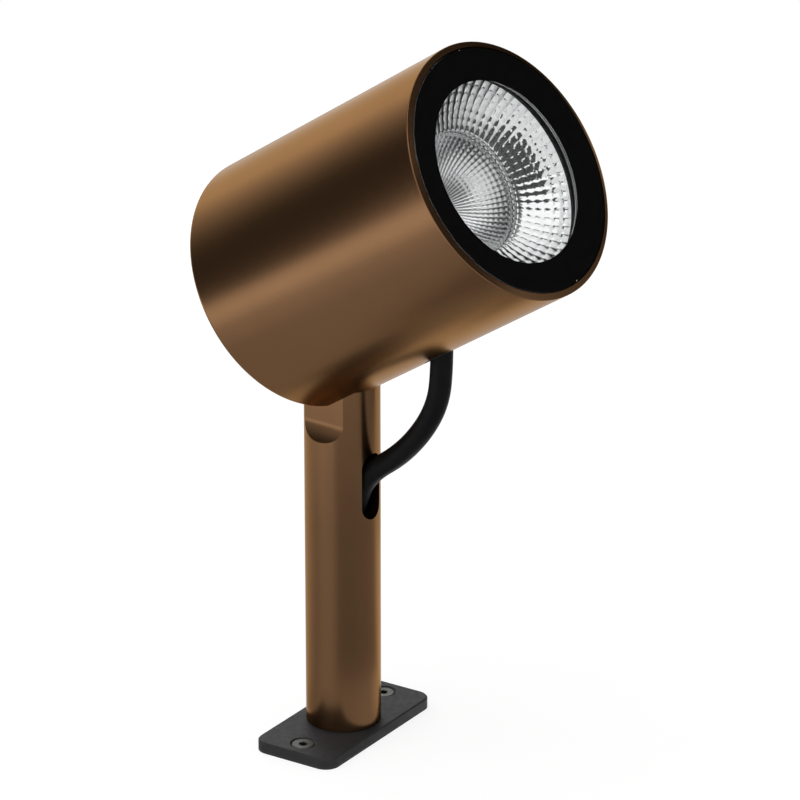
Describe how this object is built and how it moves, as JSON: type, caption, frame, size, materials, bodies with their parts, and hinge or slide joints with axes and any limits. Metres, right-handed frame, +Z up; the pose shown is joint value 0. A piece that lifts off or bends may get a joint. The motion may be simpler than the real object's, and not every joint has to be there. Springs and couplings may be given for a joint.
{
  "type": "landscape spotlight",
  "caption": "Cylindrical bronze spotlight head tilting on a round post with a black bolt-down base plate, faceted reflector behind black-bordered glass and a short loop of cable.",
  "frame": {"origin": "middle of the base plate's underside, on the post's axis", "axes": "+Z up along the post; +X along the base plate's long side; the lamp aims towards -Y, turned 4.5 degrees about Z with the post"},
  "size_m": [0.1104, 0.1596, 0.2937],
  "materials": {
    "bronze_finish": "satin metallic bronze",
    "plate_finish": "matt black powder coat",
    "steel": "bright zinc",
    "bearing_brass": "machined",
    "cable_jacket": "matt black rubber",
    "black_rubber": "soft matt",
    "black_plastic": "fine matt",
    "white_plastic": "matt",
    "bare_aluminium": "as machined",
    "circuit_board": "solder mask",
    "led_substrate": "white mask",
    "led_phosphor": "silicone dome",
    "thermal_silicone": "soft pad",
    "ferrite": "sintered",
    "capacitor_sleeve": "shrink sleeve",
    "reflector_silver": "vacuum metallised facets",
    "black_enamel": "printed enamel",
    "clear_glass": "clear tempered"
  },
  "bodies": {
    "base": {"base_plate": "plate_finish", "post_spigot": "steel", "spigot_screws": "steel"},
    "post": {"post": "bronze_finish", "pan_screws": "steel", "pivot_bushes": "bearing_brass", "cable": "cable_jacket", "cable_connector": "black_plastic", "connector_nut": "black_plastic"},
    "head": {"head_shell": "bronze_finish", "rear_cover": "bronze_finish", "rear_cover_screws": "steel", "pivot_yoke": "bare_aluminium", "yoke_screws": "steel", "pivot_bolt": "steel", "disc_springs": "steel", "pivot_nut": "steel", "bulkhead": "bare_aluminium", "bulkhead_seal": "black_rubber", "bulkhead_screws": "steel", "driver_bracket": "bare_aluminium", "driver_board": "circuit_board", "board_spacers": "black_plastic", "transformer": "ferrite", "capacitors": "capacitor_sleeve", "cable_seal": "black_rubber", "gland_nut": "bearing_brass", "cable_terminal": "black_plastic", "heat_sink": "bare_aluminium", "heat_sink_screws": "steel", "thermal_pad": "thermal_silicone", "led_board": "led_substrate", "led_emitter": "led_phosphor", "led_holder": "white_plastic", "led_screws": "steel", "reflector_holder": "black_plastic", "reflector": "reflector_silver", "reflector_ring": "reflector_silver", "front_ring": "bronze_finish", "front_seal": "black_rubber", "glass_gasket": "black_rubber", "glass_border": "black_enamel", "front_glass": "clear_glass"}
  },
  "joints": [
    {"name": "post_pan", "type": "hinge", "parent": "base", "child": "post", "pos_m": [0, 0, 0], "axis": [0, 0, 1], "range_deg": [-170, 170]},
    {"name": "head_tilt", "type": "hinge", "parent": "post", "child": "head", "pos_m": [0, 0, 0.1619], "axis": [-0.9969, 0.0785, 0], "range_deg": [0, 57.5], "deforming": ["cable"]}
  ]
}
